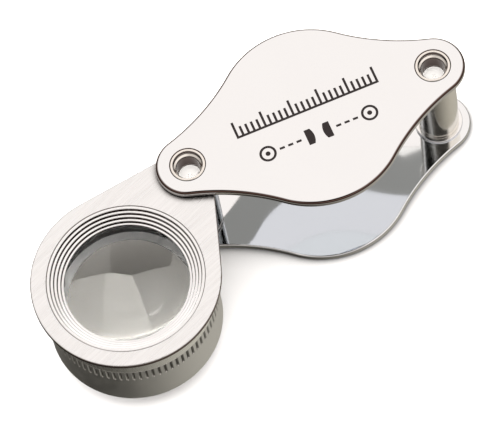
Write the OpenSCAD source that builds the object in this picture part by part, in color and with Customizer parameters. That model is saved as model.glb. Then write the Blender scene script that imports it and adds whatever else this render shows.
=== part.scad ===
// Folding viewing loupe: a doublet lens barrel in a teardrop frame that swings out of a
// two-plate case. Millimetres, +Z up, origin at the case centre on the rear cover's outer face.
// The swing axle is at -X, the spacer post at +X.

/* [Case] */
// Distance between the swing axle and the spacer post
post_spacing = 44; // [43:0.5:48]
// Overall height over both covers
case_h = 22; // [22:0.5:26]
// Thickness of each cover
cover_t = 1.2; // [1:0.1:1.4]
// Radius of the rounded ends of the covers
end_r = 5.4; // [5:0.1:6]
// Radius of the bulged sides of the covers
bulge_r = 15.1; // [14.6:0.1:16]
// How far each bulge centre stands out from the centre line
bulge_offset = 1.35; // [0.5:0.05:2]
// Radius of the hollow between a bulge and an end
waist_r = 38; // [30:1:50]

/* [Lens] */
// Nominal lens diameter
lens_d = 23; // [22:0.1:23.2]
// Clear aperture seen from the front
aperture_d = 20.8; // [20:0.1:21.4]
// Radius of the convex lens faces
lens_radius = 22.5; // [20:0.5:30]
// Thickness of a lens at its rim
lens_edge = 1.2; // [1:0.1:1.4]

/* [Lens barrel] */
// Radius of the barrel outside
barrel_r = 14.5; // [14.2:0.1:14.8]
// Height of the barrel's lower rim above the rear cover's outer face
barrel_base_z = 4; // [3:0.1:4.5]
// Height of the joint between the barrel and the frame's sleeve
barrel_joint_z = 14.9; // [13:0.1:15]
// Number of notches in the coin-edge grip band
grip_notches = 84; // [40:2:90]
// Length of the grip notches
grip_h = 2.9; // [2:0.05:4]
// Number of steps in the front ring
ring_steps = 4; // [2:1:5]

/* [Lens frame] */
// Angle of the lens frame from its folded place; minus turns it out over the front-left side
swing_angle = -139.7; // [-180:0.1:0]
// Radius of the round flange that shields the lens
flange_r = 15.8; // [15.4:0.1:16.2]
// Thickness of the flange
flange_t = 0.8; // [0.8:0.1:1.2]
// Outer radius of the knuckle that turns on the axle
knuckle_r = 3.9; // [3.7:0.1:4.2]

/* [Posts] */
// Radius of the rivets between the covers
rivet_r = 2.6; // [2.4:0.05:2.6]
// Radius of the flared rivet lip, level with the cover
rivet_lip_r = 3.05; // [3:0.05:3.2]
// Depth of the blind hole in each rivet end
rivet_hole_depth = 4; // [2:0.5:5]
// Outer radius of the spacer sleeve
sleeve_r = 3.5; // [3.2:0.1:3.7]
// Outer radius of the spacer washers
washer_r = 4.1; // [3.9:0.1:4.3]

/* [Hidden] */
$fn = 96;

eps = 0.5;
half_spacing = post_spacing / 2;
// The lens sits on the case centre when it is folded in
lens_reach = half_spacing;
fit_gap = 0.03;

// Rivets and their holes in the covers
cover_hole_r = 2.4;
tenon_r = cover_hole_r - 0.02;
flare_depth = 0.7;
rivet_hole_r = 2;
rivet_mouth_r = 2.6;
dimple_r = 0.35;

// Heights between the covers
gap_base_z = cover_t;
gap_top_z = case_h - cover_t;
flange_top_z = gap_top_z - 0.3;
flange_base_z = flange_top_z - flange_t;
friction_washer_t = 0.28;
friction_washer_r = 3.8;
spring_h = 0.65;
spring_t = 0.3;
knuckle_base_z = gap_base_z + friction_washer_t + spring_h + 0.07;
bush_t = 0.45;
bush_r = rivet_r + 0.05 + bush_t;
spacer_washer_t = 0.5;

// Lens stack, from the front lens down
lens_r = lens_d / 2;
front_lens_top_z = flange_top_z - 2.1;
front_lens_edge_z = front_lens_top_z - lens_edge;
rear_lens_base_z = barrel_base_z + 3.3;
rear_lens_edge_z = rear_lens_base_z + lens_edge;
spigot_r = 13.3;
sleeve_bore_r = spigot_r + fit_gap;
lens_bore_r = lens_r + 0.05;
ring_r = 13.1;
ring_bore_r = ring_r + fit_gap;
ring_top_z = flange_top_z - 0.05;
ring_step_w = 0.55;
ring_step_h = 0.4;
aperture_r = aperture_d / 2;
thread_r = lens_bore_r + 0.4;
rear_ring_t = 2;
stop_r = 9.3;
stop_t = 0.5;
stop_z = (front_lens_edge_z + rear_lens_edge_z) / 2;
spacer_wall = 0.9;

// Engraved marking on the front cover: a tick scale and a sign for the lens pair
marking_depth = 0.12;
tick_w = 0.42;
tick_count = 26;
tick_pitch = 1;
long_tick = 3.2;
short_tick = 2.1;
scale_y = 0.9;
symbol_y = -3.7;
symbol_h = 2.9;
sign_gap = 0.8;
sign_t = 1.4;
sign_bow_r = 3;
dash_x = 3.1;
dash_w = 0.9;
dash_pitch = 1.5;
dash_count = 3;
dot_x = 9.1;

// ---------------------------------------------------------------- helpers

// Ring or disc with its base at height z
module tube(r, bore, z, h) {
    translate([0, 0, z])
    difference() {
        cylinder(r = r, h = h);
        translate([0, 0, -eps])
        cylinder(r = bore, h = h + 2 * eps);
    }
}

// Centre of the circle that hollows the waist, touching an end and a bulge from outside
function waist_centre() = let (
    to_end = waist_r + end_r,
    to_bulge = waist_r + bulge_r,
    span = norm([half_spacing, bulge_offset]),
    along = (to_end * to_end - to_bulge * to_bulge + span * span) / (2 * span),
    up = sqrt(to_end * to_end - along * along),
    dir = [-half_spacing, bulge_offset] / span
) [half_spacing, 0] + along * dir + up * [dir[1], -dir[0]];

// Quarter of the cover outline: half an end, half a bulge and the hollow between them
module cover_quarter() {
    waist = waist_centre();
    translate([half_spacing, 0])
    circle(r = end_r);
    translate([0, bulge_offset])
    circle(r = bulge_r);
    difference() {
        polygon([[0, 0], [half_spacing, 0], waist, [0, bulge_offset]]);
        translate(waist)
        circle(r = waist_r);
    }
}

module cover_outline() {
    for (side = [0, 1], end = [0, 1])
        mirror([0, side])
        mirror([end, 0])
        cover_quarter();
}

// Cover plate with its outer face up, at height 0, and holes countersunk for the rivets
module cover_plate() {
    difference() {
        translate([0, 0, -cover_t])
        linear_extrude(cover_t)
        cover_outline();
        for (side = [-1, 1])
            translate([side * half_spacing, 0, 0])
            rivet_seat();
    }
}

module rivet_seat() {
    translate([0, 0, -cover_t - eps])
    cylinder(r = cover_hole_r, h = cover_t + 2 * eps);
    translate([0, 0, -flare_depth])
    cylinder(r1 = cover_hole_r, r2 = rivet_lip_r + 0.02, h = flare_depth);
    cylinder(r = rivet_lip_r + 0.02, h = eps);
}

// Profile of the upper half of a rivet, from the side of its shank to the foot of its blind hole
function rivet_half(shank_r) = let (
    top = case_h / 2,
    shoulder = top - cover_t,
    flare = top - flare_depth,
    floor = top - rivet_hole_depth
) [
    [shank_r, shoulder],
    [tenon_r, shoulder],
    [tenon_r, flare],
    [rivet_lip_r, top],
    [rivet_mouth_r, top],
    [rivet_hole_r, flare],
    [rivet_hole_r, floor],
    [dimple_r, floor],
    [0, floor - dimple_r]
];

function mirrored(points) = [
    for (i = [len(points) - 1 : -1 : 0]) [points[i][0], -points[i][1]]
];

// Semi-tubular rivet through both covers, flared into their countersinks
module rivet(shank_r) {
    half = rivet_half(shank_r);
    translate([0, 0, case_h / 2])
    rotate_extrude()
    polygon(concat(half, mirrored(half)));
}

// Plano-convex lens, flat face at z = 0 and curved face towards +Z
module plano_convex() {
    sagitta_drop = sqrt(lens_radius * lens_radius - lens_r * lens_r);
    intersection() {
        cylinder(r = lens_r, h = lens_radius);
        translate([0, 0, lens_edge - sagitta_drop])
        sphere(r = lens_radius);
    }
}

// Moves a part drawn with the axle at the origin, lens towards +X, to its place on the case
module on_swing() {
    translate([-half_spacing, 0, 0])
    rotate([0, 0, swing_angle])
    children();
}

// The same for a part drawn round the lens axis
module on_lens_axis() {
    on_swing()
    translate([lens_reach, 0, 0])
    children();
}

// ---------------------------------------------------------------- marking

// Row of millimetre ticks, longer at every fifth, standing on a base line
module tick_scale() {
    scale_w = (tick_count - 1) * tick_pitch;
    translate([-scale_w / 2 - tick_w / 2, 0]) {
        for (i = [0 : tick_count - 1])
            translate([i * tick_pitch, 0])
            square([tick_w, i % 5 == 0 ? long_tick : short_tick]);
        square([scale_w + tick_w, tick_w]);
    }
}

// Side view of a plano-convex lens, its bow at x = 0 and its flat face at x = sign_t
module lens_sign() {
    intersection() {
        translate([0, -symbol_h / 2])
        square([sign_t, symbol_h]);
        translate([sign_bow_r, 0])
        circle(r = sign_bow_r);
    }
}

// Two lenses facing each other on a dashed axis, between two ringed dots
module pair_sign() {
    for (side = [0, 1])
        mirror([side, 0]) {
            translate([sign_gap, 0])
            lens_sign();
            for (i = [0 : dash_count - 1])
                translate([dash_x + i * dash_pitch, -tick_w / 2])
                square([dash_w, tick_w]);
            translate([dot_x, 0]) {
                difference() {
                    circle(r = symbol_h / 2);
                    circle(r = symbol_h / 2 - tick_w);
                }
                circle(r = tick_w);
            }
        }
}

module marking_outline() {
    translate([0, scale_y])
    tick_scale();
    translate([0, symbol_y])
    pair_sign();
}

// ---------------------------------------------------------------- case

module front_cover() {
    color("gainsboro")
    difference() {
        translate([0, 0, case_h])
        cover_plate();
        translate([0, 0, case_h - marking_depth])
        linear_extrude(marking_depth + eps)
        marking_outline();
    }
}

module rear_cover() {
    color("gainsboro")
    mirror([0, 0, 1])
    cover_plate();
}

module cover_marking() {
    color("dimgray")
    translate([0, 0, case_h - marking_depth])
    linear_extrude(marking_depth - 0.02)
    marking_outline();
}

module pivot_rivet() {
    color("silver")
    translate([-half_spacing, 0, 0])
    rivet(rivet_r);
}

module friction_washer_upper() {
    color("darkgray")
    translate([-half_spacing, 0, 0])
    tube(friction_washer_r, rivet_r + fit_gap, gap_top_z - friction_washer_t, friction_washer_t);
}

module friction_washer_lower() {
    color("darkgray")
    translate([-half_spacing, 0, 0])
    tube(friction_washer_r, rivet_r + fit_gap, gap_base_z, friction_washer_t);
}

// Conical spring washer that presses the knuckle up against the upper friction washer
module spring_washer() {
    foot_r = friction_washer_r - 0.1;
    neck_r = rivet_r + 0.1;
    color("gray")
    translate([-half_spacing, 0, gap_base_z + friction_washer_t])
    rotate_extrude()
    polygon([
        [neck_r, spring_h - spring_t],
        [foot_r, 0],
        [foot_r, spring_t],
        [neck_r, spring_h]
    ]);
}

module spacer_rivet() {
    color("silver")
    translate([half_spacing, 0, 0])
    rivet(rivet_r);
}

module spacer_sleeve() {
    sleeve_h = gap_top_z - gap_base_z - 2 * spacer_washer_t;
    color("tan")
    translate([half_spacing, 0, 0])
    tube(sleeve_r, rivet_r + fit_gap, gap_base_z + spacer_washer_t, sleeve_h);
}

module spacer_washer_upper() {
    color("whitesmoke")
    translate([half_spacing, 0, 0])
    tube(washer_r, rivet_r + fit_gap, gap_top_z - spacer_washer_t, spacer_washer_t);
}

module spacer_washer_lower() {
    color("whitesmoke")
    translate([half_spacing, 0, 0])
    tube(washer_r, rivet_r + fit_gap, gap_base_z, spacer_washer_t);
}

// ---------------------------------------------------------------- lens holder

// Teardrop: a circle round the lens and one round the axle, joined by their tangents
module teardrop() {
    slope = (flange_r - knuckle_r) / lens_reach;
    normal = [-slope, sqrt(1 - slope * slope)];
    flip = [normal[0], -normal[1]];
    lens_at = [lens_reach, 0];
    circle(r = knuckle_r);
    translate(lens_at)
    circle(r = flange_r);
    polygon([
        knuckle_r * normal,
        lens_at + flange_r * normal,
        lens_at + flange_r * flip,
        knuckle_r * flip
    ]);
}

module holder_frame() {
    web_w = 4.4;
    color("lightgray")
    on_swing()
    difference() {
        union() {
            translate([0, 0, flange_base_z])
            linear_extrude(flange_t)
            teardrop();
            translate([lens_reach, 0, barrel_joint_z])
            cylinder(r = barrel_r, h = flange_top_z - barrel_joint_z);
            translate([0, 0, knuckle_base_z])
            cylinder(r = knuckle_r, h = flange_top_z - knuckle_base_z);
            translate([0, -web_w / 2, barrel_joint_z])
            cube([lens_reach / 2, web_w, flange_top_z - barrel_joint_z]);
        }
        translate([0, 0, knuckle_base_z - eps])
        cylinder(r = bush_r, h = case_h);
        translate([lens_reach, 0, barrel_joint_z - eps])
        cylinder(r = sleeve_bore_r, h = front_lens_top_z - barrel_joint_z + eps);
        translate([lens_reach, 0, barrel_joint_z])
        cylinder(r = ring_bore_r, h = case_h);
    }
}

module pivot_bush() {
    bush_h = flange_top_z - knuckle_base_z;
    color("goldenrod")
    on_swing()
    tube(bush_r, rivet_r + 0.05, knuckle_base_z, bush_h);
}

// Coin-edge grip: upright round-bottomed notches cut all round the barrel
module grip_cuts() {
    notch_r = 0.28;
    for (i = [0 : grip_notches - 1])
        rotate([0, 0, i * 360 / grip_notches])
        translate([barrel_r, 0, barrel_joint_z - 0.15 - grip_h])
        cylinder(r = notch_r, h = grip_h, $fn = 16);
}

module lens_cell() {
    rim_chamfer = 0.4;
    color("lightgray")
    on_lens_axis()
    difference() {
        rotate_extrude()
        polygon([
            [thread_r + fit_gap, barrel_base_z],
            [barrel_r - rim_chamfer, barrel_base_z],
            [barrel_r, barrel_base_z + rim_chamfer],
            [barrel_r, barrel_joint_z],
            [spigot_r, barrel_joint_z],
            [spigot_r, front_lens_top_z],
            [lens_bore_r, front_lens_top_z],
            [lens_bore_r, rear_lens_base_z],
            [thread_r + fit_gap, rear_lens_base_z]
        ]);
        grip_cuts();
    }
}

// Ring stepped down towards the lens, one land and one riser at a time
module front_ring() {
    color("gainsboro")
    on_lens_axis()
    difference() {
        tube(ring_r, aperture_r, front_lens_top_z, ring_top_z - front_lens_top_z);
        for (i = [1 : ring_steps])
            translate([0, 0, ring_top_z - i * ring_step_h])
            cylinder(r = ring_r - i * ring_step_w, h = case_h);
    }
}

module front_lens() {
    color("lightcyan", 0.5)
    on_lens_axis()
    translate([0, 0, front_lens_top_z])
    mirror([0, 0, 1])
    plano_convex();
}

module rear_lens() {
    color("lightcyan", 0.5)
    on_lens_axis()
    translate([0, 0, rear_lens_base_z])
    plano_convex();
}

// Spacer tube with sloped seats for the curved faces and the field stop halfway along
module lens_spacer() {
    bore_r = lens_r - spacer_wall;
    // How far a curved face stands in from its rim at the spacer's bore
    bow = sqrt(pow(lens_radius, 2) - pow(bore_r, 2)) - sqrt(pow(lens_radius, 2) - pow(lens_r, 2));
    low = rear_lens_edge_z + fit_gap;
    high = front_lens_edge_z - fit_gap;
    color("black")
    on_lens_axis()
    rotate_extrude()
    polygon([
        [lens_r, low],
        [lens_r, high],
        [bore_r, high - bow],
        [bore_r, stop_z + stop_t / 2],
        [stop_r, stop_z + stop_t / 2],
        [stop_r, stop_z - stop_t / 2],
        [bore_r, stop_z - stop_t / 2],
        [bore_r, low + bow]
    ]);
}

// Retaining ring with two notches for a spanner
module rear_ring() {
    notch_w = 1.4;
    base_z = rear_lens_base_z - rear_ring_t;
    color("darkgray")
    on_lens_axis()
    difference() {
        tube(thread_r, aperture_r, base_z, rear_ring_t);
        translate([-lens_d, -notch_w / 2, base_z - eps])
        cube([2 * lens_d, notch_w, rear_ring_t / 2 + eps]);
    }
}

front_cover();
rear_cover();
cover_marking();
pivot_rivet();
friction_washer_upper();
friction_washer_lower();
spring_washer();
spacer_rivet();
spacer_sleeve();
spacer_washer_upper();
spacer_washer_lower();
holder_frame();
pivot_bush();
lens_cell();
front_ring();
front_lens();
lens_spacer();
rear_lens();
rear_ring();
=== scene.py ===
"""Folding viewing loupe: finished meshes, materials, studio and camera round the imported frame.

Lengths here are millimetres and are turned to metres where a mesh, light or camera is made.
"""
import math

import bmesh
import bpy
from mathutils import Matrix, Vector


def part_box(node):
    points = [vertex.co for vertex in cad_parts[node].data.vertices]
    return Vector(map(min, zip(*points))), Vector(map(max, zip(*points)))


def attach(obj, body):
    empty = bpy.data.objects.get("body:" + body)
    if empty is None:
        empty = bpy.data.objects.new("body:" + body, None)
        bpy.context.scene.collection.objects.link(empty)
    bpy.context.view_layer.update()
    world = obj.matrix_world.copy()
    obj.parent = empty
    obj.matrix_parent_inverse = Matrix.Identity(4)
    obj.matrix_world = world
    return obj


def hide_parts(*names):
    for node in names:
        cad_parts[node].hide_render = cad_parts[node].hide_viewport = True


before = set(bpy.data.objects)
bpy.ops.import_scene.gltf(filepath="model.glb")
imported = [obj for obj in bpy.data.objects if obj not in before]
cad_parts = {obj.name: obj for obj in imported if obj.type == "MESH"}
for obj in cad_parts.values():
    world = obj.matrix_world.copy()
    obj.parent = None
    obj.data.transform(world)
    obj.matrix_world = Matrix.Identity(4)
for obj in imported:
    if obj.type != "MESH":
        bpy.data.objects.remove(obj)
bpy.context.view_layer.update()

MM = 0.001
TURN = 2 * math.pi
SEGMENTS = 192
HOLE_SEGMENTS = 96
CORNER_STEPS = 4
# Largest share of a side that a rounded corner takes
CORNER_SHARE = 0.45
# Radii and distances below this are nothing
TINY = 1e-6
# Thickness that polishing takes off a plate's edge
POLISH = 0.01


# ------------------------------------------------------------------ places from the frame

def centre(node):
    """Middle of a CAD node's box, in mm."""
    low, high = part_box(node)
    return (low + high) * 0.5 / MM


def heights(node):
    """Lowest and highest height of a CAD node, in mm."""
    low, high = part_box(node)
    return low.z / MM, high.z / MM


def radius(node):
    """Outer radius of a round CAD node on a Z axis, in mm."""
    low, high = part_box(node)
    return (high.x - low.x) / 2 / MM


PIVOT = centre("pivot_rivet").xy
POST = centre("spacer_rivet").xy
LENS = centre("front_ring").xy
SWING = math.atan2(LENS.y - PIVOT.y, LENS.x - PIVOT.x)
REACH = (LENS - PIVOT).length

# Case, with the radii of the covers' outline and how their edges are rounded on each side
REAR_Z = heights("rear_cover")
FRONT_Z = heights("front_cover")
END_R = 5.4
BULGE_R = 15.1
BULGE_OFFSET = 1.35
WAIST_R = 38.0
FRONT_ROUND = (0.6, 0.15)
REAR_ROUND = (0.3, 0.3)

# Rivets: shank, tenon, flared lip and the blind hole with its wider mouth
RIVET_R = 2.6
TENON_R = 2.38
LIP_R = radius("pivot_rivet")
LIP_GAP = 0.1
MOUTH_R = 2.5
MOUTH_DEPTH = 0.75
HOLE_R = 2.0
HOLE_DEPTH = 4.0
DIMPLE_R = 0.35
DIMPLE_TIP_R = 0.12
DIMPLE_DEPTH = 0.3
FLARE_DEPTH = 0.7
SEAT_GAP = 0.02

# Rings on the rivets
POST_BORE_R = 2.63
FRICTION_R = 3.8
SLEEVE_R = 3.5
COLLAR_R = 4.1
BUSH_R = 3.1
BUSH_BORE_R = 2.65
SPRING_T = 0.3

# Lens holder
FLANGE_TOP = heights("holder_frame")[1]
KNUCKLE_BASE = heights("holder_frame")[0]
FLANGE_T = 0.8
FLANGE_R = 15.8
FLANGE_ROUND = (0.25, 0.12)
KNUCKLE_R = 3.9
KNUCKLE_BORE_R = RIVET_R + 0.5
WEB_HALF = 2.2
RING_R = radius("front_ring")
BARREL_R = radius("lens_cell")
CELL_Z = heights("lens_cell")
JOINT_Z = 14.9
SPIGOT_R = 13.3
SLEEVE_BORE_R = 13.33
LENS_BORE_R = 11.55
THREAD_R = 11.95
APERTURE_R = 10.4
RING_STEPS = 4
STEP_W = 0.55
STEP_H = 0.4

# Coin-edge grip: half the share of its pitch that a notch takes, and how it deepens along its length
NOTCHES = 84
NOTCH_COLUMNS = 12
NOTCH_DEPTH = 0.26
NOTCH_SHARE = 0.22
NOTCH_H = 2.9
NOTCH_RAMP = {-0.02: 0, 0.02: 0.5, 0.06: 1, 0.5: 1, 0.94: 1, 0.98: 0.5, 1.02: 0}

# Lenses
LENS_BOW_R = 22.5
LENS_EDGE = 1.2
BOW_STEPS = 24
STOP_R = 9.3
SPACER_WALL = 0.9


# ------------------------------------------------------------------ mesh helpers

def link(name, bm, body, slot, mat, sharp=35):
    """Turns a bmesh in mm into a piece that rides on a body and replaces the CAD node of its name."""
    bmesh.ops.recalc_face_normals(bm, faces=bm.faces)
    bmesh.ops.scale(bm, vec=(MM, MM, MM), verts=bm.verts)
    mesh = bpy.data.meshes.new(name)
    bm.to_mesh(mesh)
    bm.free()
    mesh.set_sharp_from_angle(angle=math.radians(sharp))
    piece = bpy.data.objects.new(name, mesh)
    bpy.context.scene.collection.objects.link(piece)
    mesh.materials.append(mat)
    normals = piece.modifiers.new("normals", "WEIGHTED_NORMAL")
    normals.keep_sharp = True
    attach(piece, body)
    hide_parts(name)
    return piece


def rounded(points, size, closed=True, steps=CORNER_STEPS):
    """The same (radius, height) profile with each corner turned into a small curve.

    size is one reach for every corner, or a list with one for each.
    """
    result = []
    count = len(points)
    sizes = size if isinstance(size, list) else [size] * count
    for i, point in enumerate(points):
        here = Vector(point)
        if not closed and i in (0, count - 1):
            result.append(here)
            continue
        before = Vector(points[i - 1]) - here
        after = Vector(points[(i + 1) % count]) - here
        reach = min(sizes[i], before.length * CORNER_SHARE, after.length * CORNER_SHARE)
        start = here + before.normalized() * reach
        end = here + after.normalized() * reach
        for s in range(steps + 1):
            t = s / steps
            result.append(start * (1 - t) ** 2 + here * 2 * t * (1 - t) + end * t * t)
    return result


def revolve(bm, profile, axis, closed=True, segments=SEGMENTS):
    """Adds a solid of revolution about a vertical axis; an open profile starts and ends on it."""
    rings = []
    for r, z in profile:
        if r < TINY:
            rings.append([bm.verts.new((axis.x, axis.y, z))])
            continue
        ring = []
        for s in range(segments):
            a = TURN * s / segments
            ring.append(bm.verts.new((axis.x + r * math.cos(a), axis.y + r * math.sin(a), z)))
        rings.append(ring)
    pairs = list(zip(rings, rings[1:]))
    if closed:
        pairs.append((rings[-1], rings[0]))
    for low, high in pairs:
        for s in range(segments):
            n = (s + 1) % segments
            corners = [low[s % len(low)], low[n % len(low)], high[n % len(high)], high[s % len(high)]]
            unique = list(dict.fromkeys(corners))
            if len(unique) > 2:
                bm.faces.new(unique).smooth = True


def lathe(name, profile, axis, body, slot, mat, closed=True, **options):
    """A piece that is one solid of revolution."""
    bm = bmesh.new()
    revolve(bm, profile, axis, closed)
    return link(name, bm, body, slot, mat, **options)


def arc(middle, r, start, end, steps, hollow=False):
    """Points along an arc, each with the direction that points out of the material."""
    points = []
    for s in range(steps + 1):
        a = start + (end - start) * s / steps
        out = Vector((math.cos(a), math.sin(a)))
        points.append((Vector(middle) + out * r, -out if hollow else out))
    return points


def circle_loop(middle, r, segments=HOLE_SEGMENTS):
    """Loop round a hole, with the material outside it."""
    return arc(middle, r, 0, TURN, segments, hollow=True)[:-1]


def corner_profile(top, bottom, sizes, steps=6):
    """Insets and heights down a plate's edge, with its upper and lower corners rounded."""
    turns = [math.pi / 2 * s / steps for s in range(steps + 1)]
    upper, lower = sizes
    down = [(POLISH + upper * (1 - math.sin(a)), top - upper * (1 - math.cos(a))) for a in turns]
    up = [(POLISH + lower * (1 - math.sin(a)), bottom + lower * (1 - math.cos(a)))
          for a in reversed(turns)]
    return down + up


def add_loop(bm, loop, profile):
    """Adds the wall that follows a loop; returns its first and last rings of edges."""
    rings = []
    for inset, z in profile:
        rings.append([bm.verts.new((*(p - out * inset), z)) for p, out in loop])
    for high, low in zip(rings, rings[1:]):
        for i in range(len(loop)):
            n = (i + 1) % len(loop)
            bm.faces.new([high[i], high[n], low[n], low[i]]).smooth = True
    return [[bm.edges.get(pair) for pair in zip(ring, ring[1:] + ring[:1])]
            for ring in (rings[0], rings[-1])]


def fill(bm, edges):
    """Closes a flat face with holes, left flat-shaded."""
    made = bmesh.ops.triangle_fill(bm, use_beauty=True, use_dissolve=False, edges=edges)
    for face in made["geom"]:
        if isinstance(face, bmesh.types.BMFace):
            face.smooth = False


# ------------------------------------------------------------------ outlines

def turned(loop, angle, origin):
    """A loop drawn at the origin, turned and moved to its place."""
    spin = Matrix.Rotation(angle, 2)
    return [(spin @ p + origin, spin @ out) for p, out in loop]


def plain(points, shift=(0, 0)):
    """A loop with upright walls, so it needs no outward directions."""
    return [(Vector(p) + Vector(shift), Vector((0, 0))) for p in points]


def cover_outline():
    """Rounded ends and bulged sides joined by hollow arcs that touch both."""
    half = (POST.x - PIVOT.x) / 2
    end, bulge = Vector((half, 0)), Vector((0, BULGE_OFFSET))
    to_end, to_bulge = WAIST_R + END_R, WAIST_R + BULGE_R
    span = bulge - end
    along = (to_end ** 2 - to_bulge ** 2 + span.length_squared) / (2 * span.length)
    up = math.sqrt(to_end ** 2 - along ** 2)
    unit = span.normalized()
    waist = end + unit * along + Vector((unit.y, -unit.x)) * up

    def heading(a, b):
        return math.atan2(b.y - a.y, b.x - a.x)

    quarter = arc(end, END_R, 0, heading(end, waist), 14)
    quarter += arc(waist, WAIST_R, heading(waist, end) + TURN, heading(waist, bulge) + TURN,
                   24, hollow=True)[1:]
    quarter += arc(bulge, BULGE_R, heading(bulge, waist), TURN / 4, 28)[1:]
    left = [(Vector((-p.x, p.y)), Vector((-n.x, n.y))) for p, n in reversed(quarter[:-1])]
    upper = quarter + left
    lower = [(Vector((p.x, -p.y)), Vector((n.x, -n.y))) for p, n in reversed(upper[1:-1])]
    middle = (PIVOT + POST) / 2
    return [(p + middle, n) for p, n in upper + lower]


def teardrop_outline():
    """Circles round the lens and the axle, joined by their tangents."""
    lean = math.asin((FLANGE_R - KNUCKLE_R) / REACH)
    open_angle = TURN / 4 + lean
    loop = arc((REACH, 0), FLANGE_R, -open_angle, open_angle, 150)
    loop += arc((0, 0), KNUCKLE_R, open_angle, TURN - open_angle, 24)
    return turned(loop, SWING, PIVOT)


# ------------------------------------------------------------------ marking outlines

# Tick scale, the sign for a pair of lenses, and the dashes and ringed dots on its axis
STROKE = 0.42
TICKS = 26
TICK_PITCH = 1.0
LONG_TICK = 3.2
SHORT_TICK = 2.1
LONG_EVERY = 5
SCALE_Y = 0.9
SIGN_Y = -3.7
SIGN_H = 2.9
SIGN_R = 3.0
SIGN_GAP = 0.8
SIGN_T = 1.4
DASHES = 3
DASH_X = 3.1
DASH_W = 0.9
DASH_PITCH = 1.5
DOT_X = 9.1
MARK_DEPTH = 0.12


def scale_loop():
    """Comb of millimetre ticks, longer at every fifth."""
    start = -(TICKS - 1) / 2 * TICK_PITCH
    points = [(start - STROKE / 2, 0), (-start + STROKE / 2, 0)]
    for i in reversed(range(TICKS)):
        x = start + i * TICK_PITCH
        top = SHORT_TICK if i % LONG_EVERY else LONG_TICK
        if i < TICKS - 1:
            points.append((x + STROKE / 2, STROKE))
        points += [(x + STROKE / 2, top), (x - STROKE / 2, top)]
        if i:
            points.append((x - STROKE / 2, STROKE))
    return plain(points, (0, SCALE_Y))


def sign_loops():
    """Two facing plano-convex lenses on a dashed axis between two ringed dots.

    Returns (outer loop, inner loop or None) for each filled shape.
    """
    shapes = []
    flat_x = SIGN_GAP + SIGN_T
    bow_x = SIGN_GAP + SIGN_R
    half = math.asin(SIGN_H / 2 / SIGN_R)
    for side in (-1, 1):
        bow = [(side * (bow_x - SIGN_R * math.cos(a)), SIGN_R * math.sin(a))
               for a in [half * (s / 8 - 1) for s in range(17)]]
        lens = bow + [(side * flat_x, SIGN_H / 2), (side * flat_x, -SIGN_H / 2)]
        shapes.append((plain(lens, (0, SIGN_Y)), None))
        for i in range(DASHES):
            near = DASH_X + i * DASH_PITCH
            far = near + DASH_W
            dash = [(side * near, -STROKE / 2), (side * far, -STROKE / 2),
                    (side * far, STROKE / 2), (side * near, STROKE / 2)]
            shapes.append((plain(dash, (0, SIGN_Y)), None))
        spot = Vector((side * DOT_X, SIGN_Y))
        outer, inner, dot = [plain([p for p, _ in circle_loop(spot, r, 40)])
                             for r in (SIGN_H / 2, SIGN_H / 2 - STROKE, STROKE)]
        shapes.append((outer, inner))
        shapes.append((dot, None))
    return shapes


# ------------------------------------------------------------------ materials

def material(name, color, metallic, roughness, **sockets):
    """A new material; returns its nodes, links and shader for the detail to be added."""
    mat = bpy.data.materials.new(name)
    mat.use_nodes = True
    tree = mat.node_tree
    shader = tree.nodes["Principled BSDF"]
    shader.inputs["Base Color"].default_value = (*color, 1)
    shader.inputs["Metallic"].default_value = metallic
    shader.inputs["Roughness"].default_value = roughness
    for socket, value in sockets.items():
        shader.inputs[socket.replace("_", " ")].default_value = value
    return mat, tree, shader


def coordinates(tree, scale=(1, 1, 1), turn=0.0):
    """Object coordinates in mm, stretched and turned about Z."""
    source = tree.nodes.new("ShaderNodeTexCoord")
    mapping = tree.nodes.new("ShaderNodeMapping")
    mapping.vector_type = "TEXTURE"
    mapping.inputs["Rotation"].default_value = (0, 0, turn)
    mapping.inputs["Scale"].default_value = [MM / s for s in scale]
    tree.links.new(source.outputs["Object"], mapping.inputs["Vector"])
    return mapping.outputs["Vector"]


def noise(tree, vector, scale, detail=3.0, roughness=0.5):
    """Fractal noise from 0 to 1, with scale features to a mm."""
    node = tree.nodes.new("ShaderNodeTexNoise")
    node.inputs["Scale"].default_value = scale
    node.inputs["Detail"].default_value = detail
    node.inputs["Roughness"].default_value = roughness
    tree.links.new(vector, node.inputs["Vector"])
    return node.outputs["Fac"]


def spread(tree, value, low, high, to_low, to_high):
    """Maps a range of a texture's value to another range."""
    node = tree.nodes.new("ShaderNodeMapRange")
    for socket, number in zip(("From Min", "From Max", "To Min", "To Max"),
                              (low, high, to_low, to_high)):
        node.inputs[socket].default_value = number
    tree.links.new(value, node.inputs["Value"])
    return node.outputs["Result"]


def product(tree, first, second):
    """Two values multiplied."""
    node = tree.nodes.new("ShaderNodeMath")
    node.operation = "MULTIPLY"
    tree.links.new(first, node.inputs[0])
    tree.links.new(second, node.inputs[1])
    return node.outputs["Value"]


def mixed(tree, factor, first, second):
    """Value that runs from the first, a socket, to the second as a factor goes from 0 to 1."""
    mix = tree.nodes.new("ShaderNodeMix")
    tree.links.new(factor, mix.inputs["Factor"])
    tree.links.new(first, mix.inputs["A"])
    if isinstance(second, bpy.types.NodeSocket):
        tree.links.new(second, mix.inputs["B"])
    else:
        mix.inputs["B"].default_value = second
    return mix.outputs["Result"]


def axis_of(tree, output, axis):
    """One component of an object-space position or direction."""
    source = tree.nodes.new("ShaderNodeTexCoord")
    axes = tree.nodes.new("ShaderNodeSeparateXYZ")
    tree.links.new(source.outputs[output], axes.inputs["Vector"])
    return axes.outputs[axis]


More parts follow.
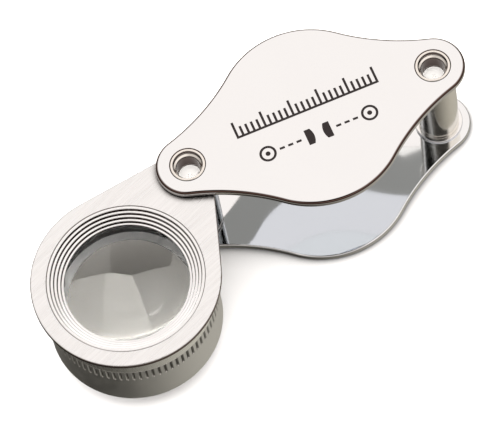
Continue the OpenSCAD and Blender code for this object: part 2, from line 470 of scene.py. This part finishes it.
def from_axis(tree, axis):
    """Distance from a vertical axis, in metres."""
    flat = tree.nodes.new("ShaderNodeVectorMath")
    flat.operation = "MULTIPLY"
    flat.inputs[1].default_value = (1, 1, 0)
    tree.links.new(tree.nodes.new("ShaderNodeTexCoord").outputs["Object"], flat.inputs[0])
    reach = tree.nodes.new("ShaderNodeVectorMath")
    reach.operation = "DISTANCE"
    reach.inputs[1].default_value = (axis.x * MM, axis.y * MM, 0)
    tree.links.new(flat.outputs["Vector"], reach.inputs[0])
    return reach.outputs["Value"]


def steep(tree, low, high, underside=False):
    """1 on upright walls and 0 on level faces, from the surface's own direction.

    With underside, faces that look down count as walls too.
    """
    rise = axis_of(tree, "Normal", "Z")
    if not underside:
        either_way = tree.nodes.new("ShaderNodeMath")
        either_way.operation = "ABSOLUTE"
        tree.links.new(rise, either_way.inputs[0])
        rise = either_way.outputs["Value"]
    return spread(tree, rise, low, high, 1, 0)


def zones(tree, factor, first, second):
    """Colour that runs from the first to the second as a factor goes from 0 to 1."""
    mix = tree.nodes.new("ShaderNodeMix")
    mix.data_type = "RGBA"
    tree.links.new(factor, mix.inputs["Factor"])
    for socket, color in (("A", first), ("B", second)):
        if isinstance(color, bpy.types.NodeSocket):
            tree.links.new(color, mix.inputs[socket])
        else:
            mix.inputs[socket].default_value = (*color, 1)
    return mix.outputs["Result"]


def above(tree, height, blur=0.1):
    """0 below a height in mm and 1 above it."""
    return spread(tree, axis_of(tree, "Object", "Z"), (height - blur / 2) * MM,
                  (height + blur / 2) * MM, 0, 1)


def shade(tree, reach, low, high):
    """1 in crevices and under overhangs within a reach in mm, 0 on open faces."""
    node = tree.nodes.new("ShaderNodeAmbientOcclusion")
    node.samples = 8
    node.inputs["Distance"].default_value = reach * MM
    return spread(tree, node.outputs["AO"], low, high, 1, 0)


def node_colors(tree, value, dark, light):
    """Colour between two colours by a texture's value."""
    node = tree.nodes.new("ShaderNodeValToRGB")
    node.color_ramp.elements[0].color = (*dark, 1)
    node.color_ramp.elements[1].color = (*light, 1)
    tree.links.new(value, node.inputs["Fac"])
    return node.outputs["Color"]


def tint(tree, shader, value, dark, light, walls=None, wall=None):
    """Base colour between two colours by a texture's value, with another where walls is 1."""
    color = node_colors(tree, value, dark, light)
    if walls:
        color = zones(tree, walls, color, wall)
    tree.links.new(color, shader.inputs["Base Color"])


def bump(tree, shader, height, strength, distance, after=None):
    """Fine relief, over the relief in after; distance is in mm."""
    node = tree.nodes.new("ShaderNodeBump")
    node.inputs["Strength"].default_value = strength
    node.inputs["Distance"].default_value = distance * MM
    tree.links.new(height, node.inputs["Height"])
    if after:
        tree.links.new(after, node.inputs["Normal"])
    tree.links.new(node.outputs["Normal"], shader.inputs["Normal"])
    return node.outputs["Normal"]


def chrome(name, edge, painted_rim_tone, foot, z):
    """Mirror-polished cover plate with faint smears and hairline scratches; the walls of its rim carry
    painted reflection and shade.

    The painted rim tone starts at a steepness range (edge); below height z the rim has the painted
    tone foot.
    """
    mat, tree, shader = material(name, (0.84, 0.865, 0.9), 1.0, 0.04)
    place = coordinates(tree)
    smear = noise(tree, place, 0.09, 4)
    tree.links.new(spread(tree, smear, 0.35, 0.7, 0.025, 0.07), shader.inputs["Roughness"])
    # painted reflection and shade: steep rim walls take the painted rim tone, and below height z the
    # painted tone foot
    tint(tree, shader, smear, (0.83, 0.855, 0.89), (0.855, 0.88, 0.915), steep(tree, *edge),
         zones(tree, above(tree, z), foot, painted_rim_tone))
    hairs = noise(tree, coordinates(tree, (0.25, 9, 1), 0.6), 1.2, 2)
    wave = bump(tree, shader, noise(tree, place, 0.035, 1), 0.12, 0.02)
    bump(tree, shader, hairs, 0.05, 0.002, wave)
    return mat


def brushed_top():
    """Lens frame: diagonal grinding lines on its face and painted shade beside the cover; satin below,
    with the flange's edge painted dark and the walls under it painted light.
    """
    mat, tree, shader = material("brushed_frame", (0.85, 0.87, 0.9), 1.0, 0.3)
    lines = noise(tree, coordinates(tree, (0.1, 4, 1), math.radians(22)), 1.0, 5, 0.65)
    deep = noise(tree, coordinates(tree, (0.14, 2.6, 1), math.radians(28)), 1.0, 3, 0.55)
    # painted shade: the flange face turns near black where the front cover overhangs it
    cover_shade = product(tree, shade(tree, 2.2, 0.45, 0.85), above(tree, FLANGE_TOP - 0.25))
    face = node_colors(tree, spread(tree, lines, 0.3, 0.62, 0, 1), (0.75, 0.77, 0.795),
                       (0.9, 0.92, 0.95))
    knuckle = spread(tree, from_axis(tree, PIVOT), (KNUCKLE_R + 0.1) * MM,
                     (KNUCKLE_R + 0.3) * MM, 1, 0)
    # painted shade: the flange's edge wall is near black; the sleeve and web walls below it are
    # painted light to offset the shade under the flange
    walls = zones(tree, above(tree, FLANGE_TOP - FLANGE_T - 0.1),
                  zones(tree, knuckle, (0.95, 0.95, 0.9), (0.4, 0.39, 0.38)), (0.14, 0.1, 0.085))
    upright = steep(tree, 0.6, 0.95, underside=True)
    color = zones(tree, upright, zones(tree, cover_shade, face, (0.03, 0.022, 0.02)), walls)
    tree.links.new(color, shader.inputs["Base Color"])
    polish = spread(tree, product(tree, knuckle, upright), 0, 1, 1, 0.3)
    tree.links.new(product(tree, spread(tree, lines, 0.3, 0.7, 0.22, 0.38), polish),
                   shader.inputs["Roughness"])
    fine = bump(tree, shader, lines, 0.5, 0.015)
    bump(tree, shader, spread(tree, deep, 0.6, 0.7, 0, 1), 0.6, 0.02, fine)
    return mat


def satin_barrel():
    """Turned and satin-plated barrel, with faint tool marks round it and painted shade in the grip's
    notches.
    """
    mat, tree, shader = material("satin_barrel", (0.7, 0.7, 0.675), 1.0, 0.34)
    turning = noise(tree, coordinates(tree, (0.2, 0.2, 9)), 1.0, 3)
    cloud = noise(tree, coordinates(tree), 0.35, 4)
    # painted shade: the notches are coloured dark where they sink into the barrel
    notch_shade = spread(tree, from_axis(tree, LENS), (BARREL_R - NOTCH_DEPTH) * MM,
                     (BARREL_R - 0.03) * MM, 1, 0)
    tint(tree, shader, cloud, (0.66, 0.66, 0.635), (0.75, 0.75, 0.725), notch_shade,
         (0.11, 0.105, 0.095))
    tree.links.new(spread(tree, cloud, 0.3, 0.7, 0.28, 0.4), shader.inputs["Roughness"])
    bump(tree, shader, turning, 0.25, 0.006)
    return mat


def turned_ring():
    """Bright turned ring, finely grained, with painted shade on the risers between its steps."""
    mat, tree, shader = material("turned_ring", (0.85, 0.87, 0.9), 1.0, 0.2)
    grain = noise(tree, coordinates(tree), 2.5, 4)
    # painted shade: upright risers are coloured near black
    tint(tree, shader, grain, (0.82, 0.84, 0.87), (0.89, 0.91, 0.94), steep(tree, 0.25, 0.6),
         (0.045, 0.022, 0.016))
    tree.links.new(spread(tree, grain, 0.3, 0.7, 0.14, 0.26), shader.inputs["Roughness"])
    bump(tree, shader, grain, 0.1, 0.005)
    return mat


def plated(name, color, roughness):
    """Plain plated metal whose polish varies a little from place to place."""
    mat, tree, shader = material(name, color, 1.0, roughness)
    grain = noise(tree, coordinates(tree), 1.2, 4)
    tint(tree, shader, grain, [c * 0.93 for c in color], [min(1.0, c * 1.05) for c in color])
    tree.links.new(spread(tree, grain, 0.3, 0.7, roughness * 0.8, roughness * 1.25),
                   shader.inputs["Roughness"])
    bump(tree, shader, grain, 0.15, 0.006)
    return mat


def rivet_steel():
    """Polished rivet with painted shade on its bore walls, and pale matte hole floors as painted
    light.
    """
    mat, tree, shader = material("rivet_steel", (0.85, 0.83, 0.8), 1.0, 0.15)
    grain = noise(tree, coordinates(tree), 2.0, 4)
    middle = (REAR_Z[0] + FRONT_Z[1]) / 2
    foot = FRONT_Z[1] - HOLE_DEPTH + 0.1
    # painted light: the floor of each hole is pale and matte, standing in for the light it catches
    floor = product(tree, above(tree, 2 * middle - foot), spread(
        tree, axis_of(tree, "Object", "Z"), (foot - 0.05) * MM, foot * MM, 1, 0))
    # painted shade: steep bore walls are coloured dark
    steel_and_bore_shade = zones(tree, steep(tree, 0.25, 0.6), node_colors(
        tree, grain, (0.8, 0.78, 0.75), (0.88, 0.86, 0.83)), (0.07, 0.05, 0.045))
    tree.links.new(zones(tree, floor, steel_and_bore_shade, (0.95, 0.93, 0.9)), shader.inputs["Base Color"])
    tree.links.new(spread(tree, floor, 0, 1, 1, 0), shader.inputs["Metallic"])
    tree.links.new(spread(tree, floor, 0, 1, 0.15, 0.6), shader.inputs["Roughness"])
    bump(tree, shader, grain, 0.2, 0.006)
    return mat


def enamel():
    """Dark enamel that fills the engraving."""
    mat, tree, shader = material("marking_enamel", (0.012, 0.009, 0.009), 0.0, 0.55,
                                 Specular_IOR_Level=0.15)
    grain = noise(tree, coordinates(tree), 3.0, 4)
    tint(tree, shader, grain, (0.006, 0.004, 0.004), (0.02, 0.016, 0.016))
    tree.links.new(spread(tree, grain, 0.3, 0.7, 0.45, 0.65), shader.inputs["Roughness"])
    bump(tree, shader, grain, 0.3, 0.01)
    return mat


def anodised():
    """Matte black anodising on the rear ring."""
    mat, tree, shader = material("black_anodised", (0.03, 0.03, 0.03), 0.6, 0.5)
    grain = noise(tree, coordinates(tree), 6.0, 3)
    tint(tree, shader, grain, (0.02, 0.02, 0.021), (0.045, 0.044, 0.043))
    tree.links.new(spread(tree, grain, 0.3, 0.7, 0.4, 0.6), shader.inputs["Roughness"])
    bump(tree, shader, grain, 0.2, 0.004)
    return mat


def glass(name, plain_below):
    """Crown glass with the faintest film; coated above a height in mm, so that it hardly reflects."""
    mat, tree, shader = material(name, (0.975, 0.97, 0.955), 0.0, 0.0, IOR=1.52,
                                 Transmission_Weight=1.0)
    tree.links.new(zones(tree, above(tree, plain_below), (1, 1, 1), (0, 0, 0)),
                   shader.inputs["Specular Tint"])
    film = noise(tree, coordinates(tree), 0.3, 3)
    tree.links.new(spread(tree, film, 0.5, 0.8, 0.0, 0.008), shader.inputs["Roughness"])
    return mat


# Painted reflections on the rims: near black on the front rim with a paler painted band at its foot,
# grey on the rear rim
FRONT_CHROME = chrome("chrome_front", (0.88, 0.98), (0.1, 0.06, 0.05), (0.6, 0.58, 0.56),
                      FRONT_Z[0] + 0.85)
REAR_CHROME = chrome("chrome_rear", (0.2, 0.6), (0.7, 0.7, 0.68), (0.6, 0.6, 0.58),
                     REAR_Z[0] + 0.6)
ENAMEL = enamel()
STEEL = rivet_steel()
SLEEVE = plated("satin_nickel", (0.8, 0.77, 0.7), 0.16)
WASHER = plated("bright_washer", (0.88, 0.89, 0.91), 0.12)
THIN_WASHER = plated("thin_washer", (0.6, 0.59, 0.57), 0.3)
SPRING = plated("spring_steel", (0.42, 0.42, 0.44), 0.28)
BRASS = plated("turned_brass", (0.78, 0.6, 0.3), 0.25)
FRAME_TOP = brushed_top()
BARREL = satin_barrel()
RING = turned_ring()
BLACK = anodised()
SPACER = plated("satin_black", (0.105, 0.106, 0.108), 0.4)
GLASS = glass("lens_glass", heights("rear_lens")[0] + 0.6)


# ------------------------------------------------------------------ case

def cover(name, z_range, outer_up, mat, round_sizes, marks=()):
    """Cover plate with rounded rim, countersunk rivet holes and engraved pockets.

    outer_up says whether its outer face, where the countersinks are, is its top.
    """
    base, top = z_range
    bm = bmesh.new()
    top_edges, bottom_edges = add_loop(bm, cover_outline(), corner_profile(top, base, round_sizes))
    # insets of the holes' walls are measured from the wide mouth of the countersink
    mouth_r = LIP_R + SEAT_GAP
    sink = LIP_R - TENON_R
    if outer_up:
        wall = [(0, top), (-sink, top - FLARE_DEPTH), (-sink, base)]
    else:
        wall = [(-sink, top), (-sink, base + FLARE_DEPTH), (0, base)]
    for spot in (PIVOT, POST):
        first, last = add_loop(bm, circle_loop(spot, mouth_r), wall)
        top_edges += first
        bottom_edges += last
    for loop in marks:
        first, last = add_loop(bm, loop, [(0, top), (0, top - MARK_DEPTH)])
        top_edges += first
        fill(bm, last)
    fill(bm, top_edges)
    fill(bm, bottom_edges)
    return link(name, bm, "case", "cover", mat)


def marking():
    """Enamel in the engraved pockets."""
    base, top = heights("cover_marking")
    bm = bmesh.new()
    shapes = [(scale_loop(), None)] + sign_loops()
    for outer, inner in shapes:
        loops = [outer] + ([inner] if inner else [])
        tops, bases = [], []
        for loop in loops:
            first, last = add_loop(bm, loop, [(0, top), (0, base)])
            tops += first
            bases += last
        fill(bm, tops)
        fill(bm, bases)
    return link("cover_marking", bm, "case", "marking", ENAMEL)


def rivet(name, spot):
    """Semi-tubular rivet: rolled lips, and blind holes with a chamfered foot and a drill dimple."""
    low, high = heights(name)
    middle = (low + high) / 2
    top = high - middle
    shoulder = FRONT_Z[0] - middle
    half = [(RIVET_R, shoulder), (TENON_R, shoulder), (TENON_R, top - FLARE_DEPTH),
            (LIP_R - LIP_GAP, top - 0.08), (LIP_R - LIP_GAP - 0.1, top), (MOUTH_R, top),
            (MOUTH_R - 0.06, top - MOUTH_DEPTH), (HOLE_R + 0.05, top - MOUTH_DEPTH - 0.3),
            (HOLE_R, top - MOUTH_DEPTH - 0.45), (HOLE_R, top - HOLE_DEPTH + 0.2),
            (HOLE_R - 0.2, top - HOLE_DEPTH), (DIMPLE_R, top - HOLE_DEPTH),
            (DIMPLE_TIP_R, top - HOLE_DEPTH - DIMPLE_DEPTH + 0.05),
            (0, top - HOLE_DEPTH - DIMPLE_DEPTH)]
    soft = rounded([(0, 0)] + half, 0.08, closed=False)[1:]
    profile = [(r, middle - z) for r, z in reversed(soft)] + [(r, middle + z) for r, z in soft]
    return lathe(name, profile, spot, "case", "rivet", STEEL, closed=False)


def washer(name, spot, outer, bore, slot, mat, size, body="case"):
    """Washer, sleeve or bush: a plain ring whose corners are rounded by a size."""
    low, high = heights(name)
    profile = rounded([(bore, low), (outer, low), (outer, high), (bore, high)], size)
    return lathe(name, profile, spot, body, slot, mat)


def spring_washer():
    """Conical washer that presses the knuckle up."""
    low, high = heights("spring_washer")
    foot, neck = radius("spring_washer"), RIVET_R + 0.1
    profile = [(neck, high - SPRING_T), (foot, low), (foot, low + SPRING_T), (neck, high)]
    return lathe("spring_washer", rounded(profile, 0.06), PIVOT, "case", "spring", SPRING)


# ------------------------------------------------------------------ lens holder

def holder_frame():
    """Flange, sleeve, knuckle and web of the lens frame, as shells that overlap."""
    bm = bmesh.new()
    tops, bases = add_loop(bm, teardrop_outline(),
                           corner_profile(FLANGE_TOP, FLANGE_TOP - FLANGE_T, FLANGE_ROUND))
    wall = [(0.05, FLANGE_TOP), (0, FLANGE_TOP - 0.05), (0, FLANGE_TOP - FLANGE_T)]
    for spot, r in ((LENS, SLEEVE_BORE_R - 0.2), (PIVOT, KNUCKLE_BORE_R)):
        first, last = add_loop(bm, circle_loop(spot, r, SEGMENTS), wall)
        tops += first
        bases += last
    fill(bm, tops)
    fill(bm, bases)

    under = FLANGE_TOP - FLANGE_T / 2
    sleeve = rounded([(SLEEVE_BORE_R, JOINT_Z), (BARREL_R, JOINT_Z), (BARREL_R, under),
                      (SLEEVE_BORE_R, under)], 0.08)
    knuckle = rounded([(KNUCKLE_BORE_R, KNUCKLE_BASE), (KNUCKLE_R, KNUCKLE_BASE),
                       (KNUCKLE_R, under), (KNUCKLE_BORE_R, under)], 0.15)
    revolve(bm, sleeve, LENS)
    revolve(bm, knuckle, PIVOT, segments=HOLE_SEGMENTS)

    near, far = KNUCKLE_R - 0.6, REACH - BARREL_R + 0.7
    web = plain([(near, -WEB_HALF), (far, -WEB_HALF), (far, WEB_HALF), (near, WEB_HALF)])
    web_top, web_base = add_loop(bm, turned(web, SWING, PIVOT), [(0, under), (0, JOINT_Z)])
    fill(bm, web_top)
    fill(bm, web_base)
    return link("holder_frame", bm, "lens_holder", "lens_frame", FRAME_TOP)


def lens_cell():
    """Barrel with rolled lower rim, coin-edge grip, seats and spigot."""
    low, high = CELL_Z
    seat = heights("rear_lens")[0]
    outside = rounded([(THREAD_R, seat), (THREAD_R, low), (BARREL_R, low), (BARREL_R, JOINT_Z),
                       (SPIGOT_R, JOINT_Z), (SPIGOT_R, high), (LENS_BORE_R, high),
                       (LENS_BORE_R, seat)], [0.05, 0.25, 0.5, 0.06, 0.05, 0.1, 0.1, 0.05])
    grip_top = JOINT_Z - 0.15
    grip_base = grip_top - NOTCH_H
    # each row of the skin is a radius, a height and how deep the notches are there
    rows = [(r, z, 0) for r, z in outside]
    at = next(i for i, (r, z) in enumerate(outside) if abs(r - BARREL_R) < TINY and z > grip_top)
    rows[at:at] = [(BARREL_R, grip_base + NOTCH_H * part, depth) for part, depth in NOTCH_RAMP.items()]
    bm = bmesh.new()
    columns = NOTCHES * NOTCH_COLUMNS
    rings = []
    for r, z, depth in rows:
        ring = []
        for c in range(columns):
            a = TURN * c / columns
            phase = (c % NOTCH_COLUMNS) / NOTCH_COLUMNS
            groove = max(0.0, 1 - (abs(phase - 0.5) / NOTCH_SHARE) ** 2)
            reach = r - NOTCH_DEPTH * depth * groove
            ring.append(bm.verts.new((LENS.x + reach * math.cos(a), LENS.y + reach * math.sin(a), z)))
        rings.append(ring)
    for lower, upper in zip(rings, rings[1:] + rings[:1]):
        for c in range(columns):
            n = (c + 1) % columns
            bm.faces.new([lower[c], lower[n], upper[n], upper[c]]).smooth = True
    return link("lens_cell", bm, "lens_holder", "barrel", BARREL)


def front_ring():
    """Stepped ring: a fine groove at the foot of each riser, crisp rolled edges."""
    low, high = heights("front_ring")
    profile = [(APERTURE_R, low), (RING_R, low), (RING_R, high - 0.06), (RING_R - 0.08, high)]
    for i in range(1, RING_STEPS + 1):
        r = RING_R - i * STEP_W
        upper = high - (i - 1) * STEP_H
        lower = high - i * STEP_H
        profile += [(r + 0.07, upper), (r, upper - 0.08), (r, lower - 0.1), (r - 0.1, lower)]
    lowest = high - RING_STEPS * STEP_H
    profile += [(APERTURE_R + 0.06, lowest), (APERTURE_R, lowest - 0.06)]
    return lathe("front_ring", rounded(profile, 0.03, steps=2), LENS, "lens_holder", "ring", RING)


def lens(name, flat_up):
    """Plano-convex lens with ground edge chamfers."""
    low, high = heights(name)
    r = radius(name)
    bow_edge = r - 0.1
    sunk = math.sqrt(LENS_BOW_R ** 2 - bow_edge ** 2)
    bow = []
    for s in range(BOW_STEPS + 1):
        x = bow_edge * (1 - s / BOW_STEPS)
        bow.append((x, LENS_EDGE + math.sqrt(LENS_BOW_R ** 2 - x ** 2) - sunk))
    profile = [(0, 0), (r - 0.15, 0), (r, 0.15), (r, LENS_EDGE - 0.08)] + bow
    if flat_up:
        profile = [(x, high - z) for x, z in profile]
    else:
        profile = [(x, low + z) for x, z in profile]
    return lathe(name, profile, LENS, "lens_holder", "lens_glass", GLASS, closed=False, sharp=20)


def lens_spacer():
    """Ring between the lenses, bevelled at both ends, with the thin stop in its middle."""
    low, high = heights("lens_spacer")
    r = radius("lens_spacer")
    bore = r - SPACER_WALL
    middle = (low + high) / 2
    profile = [(r, low), (r, high), (bore, high - 0.5), (bore, middle + 0.25), (STOP_R, middle + 0.1),
               (STOP_R, middle - 0.1), (bore, middle - 0.25), (bore, low + 0.5)]
    return lathe("lens_spacer", rounded(profile, 0.05, steps=2), LENS, "lens_holder",
                 "black_anodised", SPACER)


def finish_node(name, mat, size):
    """Eases the edges of a CAD node that keeps its own shape, and gives it a finished material."""
    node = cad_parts[name]
    node.data.materials.clear()
    node.data.materials.append(mat)
    weld = node.modifiers.new("weld", "WELD")
    weld.merge_threshold = 0.002 * MM
    ease = node.modifiers.new("ease", "BEVEL")
    ease.width = size * MM
    ease.segments = 2
    ease.limit_method = "ANGLE"
    ease.angle_limit = math.radians(40)


# ------------------------------------------------------------------ the pieces

cover("front_cover", FRONT_Z, True, FRONT_CHROME, FRONT_ROUND,
      [scale_loop()] + [loop for shape in sign_loops() for loop in shape if loop])
cover("rear_cover", REAR_Z, False, REAR_CHROME, REAR_ROUND)
marking()
rivet("pivot_rivet", PIVOT)
rivet("spacer_rivet", POST)
for side in ("upper", "lower"):
    washer(f"friction_washer_{side}", PIVOT, FRICTION_R, POST_BORE_R, "washer", THIN_WASHER, 0.05)
spring_washer()
washer("spacer_sleeve", POST, SLEEVE_R, POST_BORE_R, "sleeve", SLEEVE, 0.1)
for side in ("upper", "lower"):
    washer(f"spacer_washer_{side}", POST, COLLAR_R, POST_BORE_R, "spacer_washer", WASHER, 0.2)
holder_frame()
washer("pivot_bush", PIVOT, BUSH_R, BUSH_BORE_R, "bush", BRASS, 0.05, "lens_holder")
lens_cell()
front_ring()
lens("front_lens", True)
lens_spacer()
lens("rear_lens", False)
finish_node("rear_ring", BLACK, 0.08)


# ------------------------------------------------------------------ studio

# Direction from the case to the camera
AZIMUTH, ELEVATION = math.radians(-11.33), math.radians(64.04)
CAMERA_BACK = Vector((math.sin(AZIMUTH) * math.cos(ELEVATION),
                      -math.cos(AZIMUTH) * math.cos(ELEVATION), math.sin(ELEVATION)))
# Sky brightness overhead, at its left side, just below the horizon, and far below at left and right
SKY_UP = 1.12
SKY_SIDE = 0.75
SKY_LOW = 0.5
SKY_DOWN = (0.045, 0.55)
# Where those run into each other, as parts of a unit direction: across overhead, across far below,
# from far below up to just below the horizon, and over the horizon
UP_RANGE = (-0.5, -0.15)
DOWN_RANGE = (-0.4, 0.45)
LOW_RANGE = (-0.7, -0.45)
HORIZON = (-0.03, 0.03)
# Colour of the sky by how far up or down it is, from -1 to 1
SKY_BANDS = [(-0.4, (1, 0.95, 0.85)), (-0.14, (0.07, 0.05, 0.045)), (0.04, (0.05, 0.03, 0.025)),
             (0.2, (0.5, 0.47, 0.44)), (0.45, (1, 0.925, 0.864))]
# Half width of the floor, and how far from a piece its contact shade reaches
FLOOR_REACH = 900
CONTACT_REACH = 4.0
# White table behind the case, as the mirror between the covers shows it
TABLE_CARD = [(-60, 21.5), (0, 21.5), (3, 18.8), (14, 18.8), (16.5, 21.5), (19.5, 15.8),
              (60, 15.8), (60, 120), (-60, 120)]
CARD_Z = 0.2
CARD_COLOR = (1, 0.92, 0.82)
CARD_GLOW = 1.3
# Softboxes reflected inside the lenses: corners as parts of a unit direction across and along,
# and brightness at the lowest and highest reach along
PANEL_TURN = math.radians(-19)
PANEL_R = 500
PANEL_COLOR = (1, 0.985, 0.955)
LENS_PANELS = {
    "panel_corner": ([(0.75, -0.64), (0.15, -0.7), (0.15, -0.04), (0.75, -0.04)], (3.6, 3.4)),
    "panel_side": ([(0.15, -0.7), (-0.5, -0.7), (-0.5, 0.06), (0.15, 0.06)], (3.0, 1.6)),
    "panel_left": ([(0.75, -0.04), (0.15, -0.04), (0.15, 0.6), (0.75, 0.6)], (8.5, 9.5)),
    "panel_right": ([(0.15, -0.33), (-0.72, -0.31), (-0.7, 0.68), (0.15, 0.75)], (3.5, 10)),
    "panel_dome": ([(-0.61, -0.13), (-0.31, -0.16), (-0.02, -0.12), (0.34, 0.04), (0.58, 0.37),
                    (0.66, 0.61), (0.4, 0.8), (-0.4, 0.8), (-0.6, 0.7)], (14, 17)),
}
# Dark patch of the sky where the camera stands: cosines at its outer and inner edge, and the
# part of the brightness that is left in it
CAMERA_PATCH = (0.93, 0.97)
PATCH_LEFT = 0.03


def flat_piece(name, corners, mat):
    """One staged flat face with its corners in mm, seen by no reflection until that is set."""
    mesh = bpy.data.meshes.new(name)
    mesh.from_pydata([Vector(corner) * MM for corner in corners], [], [range(len(corners))])
    mesh.materials.append(mat)
    piece = bpy.data.objects.new(name, mesh)
    bpy.context.scene.collection.objects.link(piece)
    piece.visible_glossy = False
    return piece


def studio_floor():
    """Pale paper with a painted contact shadow right beside what stands on it."""
    mat, tree, shader = material("paper_floor", (0.92, 0.92, 0.92), 0.0, 0.9)
    # painted shadow: the paper darkens where pieces stand within the contact reach
    tint(tree, shader, noise(tree, coordinates(tree), 0.02, 2), (0.91, 0.91, 0.91),
         (0.93, 0.93, 0.93), shade(tree, CONTACT_REACH, 0.45, 0.97), (0.12, 0.12, 0.125))
    flat_piece("floor", [(x * FLOOR_REACH, y * FLOOR_REACH, 0)
                         for x, y in ((-1, -1), (1, -1), (1, 1), (-1, 1))], mat)


def softbox(name, at, size, power, aim=(0, 0, 10)):
    """Square studio light that no reflection shows; place, size and aim in mm, power in watts."""
    data = bpy.data.lights.new(name, "AREA")
    data.shape = "RECTANGLE"
    data.size, data.size_y = size * MM, size * MM
    data.energy = power
    lamp = bpy.data.objects.new(name, data)
    bpy.context.scene.collection.objects.link(lamp)
    lamp.location = Vector(at) * MM
    lamp.rotation_euler = (Vector(aim) - Vector(at)).to_track_quat("-Z", "Y").to_euler()
    lamp.visible_glossy = False
    lamp.visible_transmission = False


def sky():
    """Studio tent: white overhead, dark round the horizon, and below it a table lit from the right."""
    world = bpy.data.worlds.new("studio")
    bpy.context.scene.world = world
    world.use_nodes = True
    tree = world.node_tree
    background = tree.nodes["Background"]
    source = tree.nodes.new("ShaderNodeTexCoord")
    axes = tree.nodes.new("ShaderNodeSeparateXYZ")
    tree.links.new(source.outputs["Generated"], axes.inputs["Vector"])
    bands = tree.nodes.new("ShaderNodeValToRGB")
    ramp = bands.color_ramp
    for place, color in SKY_BANDS:
        stop = ramp.elements.new((place + 1) / 2)
        stop.color = (*color, 1)
    ramp.elements.remove(ramp.elements[0])
    ramp.elements.remove(ramp.elements[-1])
    tree.links.new(spread(tree, axes.outputs["Z"], -1, 1, 0, 1), bands.inputs["Fac"])
    tree.links.new(bands.outputs["Color"], background.inputs["Color"])
    deep = spread(tree, axes.outputs["X"], *DOWN_RANGE, *SKY_DOWN)
    overhead = spread(tree, axes.outputs["X"], *UP_RANGE, SKY_SIDE, SKY_UP)
    below = mixed(tree, spread(tree, axes.outputs["Z"], *LOW_RANGE, 0, 1), deep, SKY_LOW)
    whole = mixed(tree, spread(tree, axes.outputs["Z"], *HORIZON, 0, 1), below, overhead)
    toward = tree.nodes.new("ShaderNodeVectorMath")
    toward.operation = "DOT_PRODUCT"
    toward.inputs[1].default_value = CAMERA_BACK
    tree.links.new(source.outputs["Generated"], toward.inputs[0])
    patch = spread(tree, toward.outputs["Value"], *CAMERA_PATCH, 1, PATCH_LEFT)
    tree.links.new(product(tree, whole, patch), background.inputs["Strength"])


def card(name, corners, low, high, color, glossy=False):
    """Flat glowing panel seen only in reflections in metal (glossy), or only inside the lenses.

    Its corners are in mm; low and high are its brightness at its lower and higher local Y.
    """
    mat = bpy.data.materials.new(name)
    mat.use_nodes = True
    tree = mat.node_tree
    tree.nodes.clear()
    lamp = tree.nodes.new("ShaderNodeEmission")
    output = tree.nodes.new("ShaderNodeOutputMaterial")
    source = tree.nodes.new("ShaderNodeTexCoord")
    axes = tree.nodes.new("ShaderNodeSeparateXYZ")
    tree.links.new(source.outputs["Generated"], axes.inputs["Vector"])
    path = tree.nodes.new("ShaderNodeLightPath")
    # light that has met the floor or a wall below the lenses would only come back as speckle
    direct = product(tree, spread(tree, path.outputs["Diffuse Depth"], 0, 1, 1, 0),
                     spread(tree, path.outputs["Transmission Depth"], 6, 7, 1, 0))
    tree.links.new(product(tree, spread(tree, axes.outputs["Y"], 0, 1, low, high), direct),
                   lamp.inputs["Strength"])
    lamp.inputs["Color"].default_value = (*color, 1)
    tree.links.new(lamp.outputs["Emission"], output.inputs["Surface"])
    panel = flat_piece(name, corners, mat)
    panel.visible_camera = False
    panel.visible_diffuse = False
    panel.visible_shadow = False
    panel.visible_glossy = glossy
    panel.visible_transmission = not glossy
    return panel


def lens_panels():
    """Softboxes that the lens faces reflect, each on a plane square to its middle direction."""
    for name, (corners, (low, high)) in LENS_PANELS.items():
        rays = [Vector((a, b, math.sqrt(1 - a * a - b * b))) for a, b in corners]
        facing = sum(rays, Vector()).normalized()
        panel = card(name, [ray * (PANEL_R / ray.dot(facing)) for ray in rays], low, high,
                     PANEL_COLOR)
        panel.location = (LENS.x * MM, LENS.y * MM, 0)
        panel.rotation_euler = (0, 0, PANEL_TURN)


def camera():
    """Long lens, rolled, with its aim a little beside the case centre."""
    distance, beside, below = 694.7, 11.98, 7.80
    roll = math.radians(-11.87)
    level_right = Vector((0, 0, 1)).cross(CAMERA_BACK).normalized()
    level_up = CAMERA_BACK.cross(level_right)
    right = level_right * math.cos(roll) + level_up * math.sin(roll)
    up = level_up * math.cos(roll) - level_right * math.sin(roll)
    data = bpy.data.cameras.new("camera")
    data.lens = 293.6
    data.sensor_width = 36
    data.clip_start = 0.01
    data.clip_end = 20
    eye = bpy.data.objects.new("camera", data)
    bpy.context.scene.collection.objects.link(eye)
    place = Matrix((right, up, CAMERA_BACK)).transposed().to_4x4()
    place.translation = (CAMERA_BACK * distance - right * beside - up * below) * MM
    eye.matrix_world = place
    bpy.context.scene.camera = eye


studio_floor()
sky()
softbox("tent", (-50, 80, 1100), 2200, 45)
lens_panels()
card("table_card", [(x, y, CARD_Z) for x, y in TABLE_CARD], CARD_GLOW, CARD_GLOW, CARD_COLOR,
     glossy=True)
camera()
bpy.context.scene.view_settings.view_transform = "Standard"
